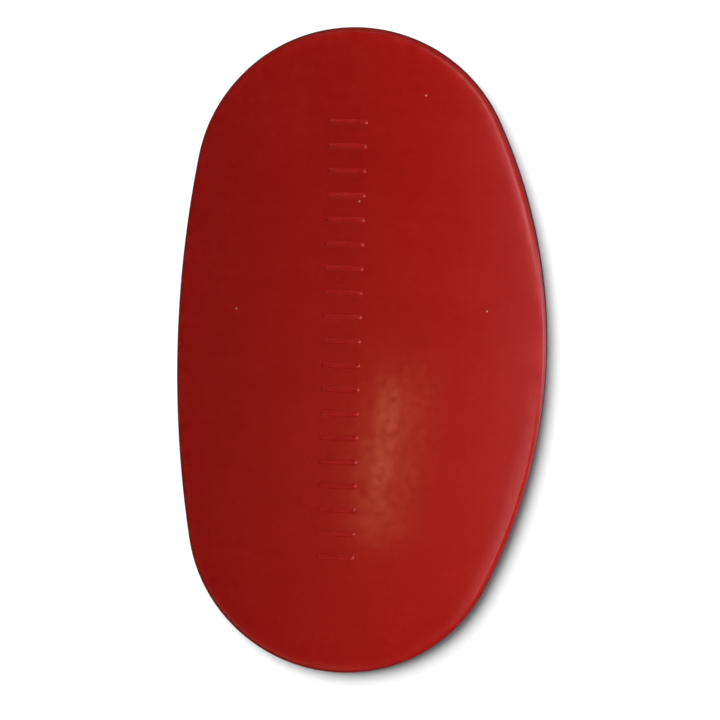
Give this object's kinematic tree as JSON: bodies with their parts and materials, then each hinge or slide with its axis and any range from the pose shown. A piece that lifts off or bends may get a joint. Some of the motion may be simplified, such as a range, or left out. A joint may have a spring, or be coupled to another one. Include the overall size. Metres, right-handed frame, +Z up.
{
  "type": "potter's rib",
  "caption": "Flexible D-shaped rubber potter's rib with a gently domed face, rounded rim and a row of raised grip bars.",
  "frame": {"origin": "middle of the rib's outline, on the flat back that it lies on", "axes": "+Z up, out of the working face; Y along the rib's length; +X towards the bellied long side"},
  "size_m": [0.0654, 0.115, 0.0054],
  "materials": {
    "red_rubber": "smooth moulded red rubber with a satin sheen"
  },
  "bodies": {
    "root": {"rubber_rib": "red_rubber"}
  },
  "joints": []
}
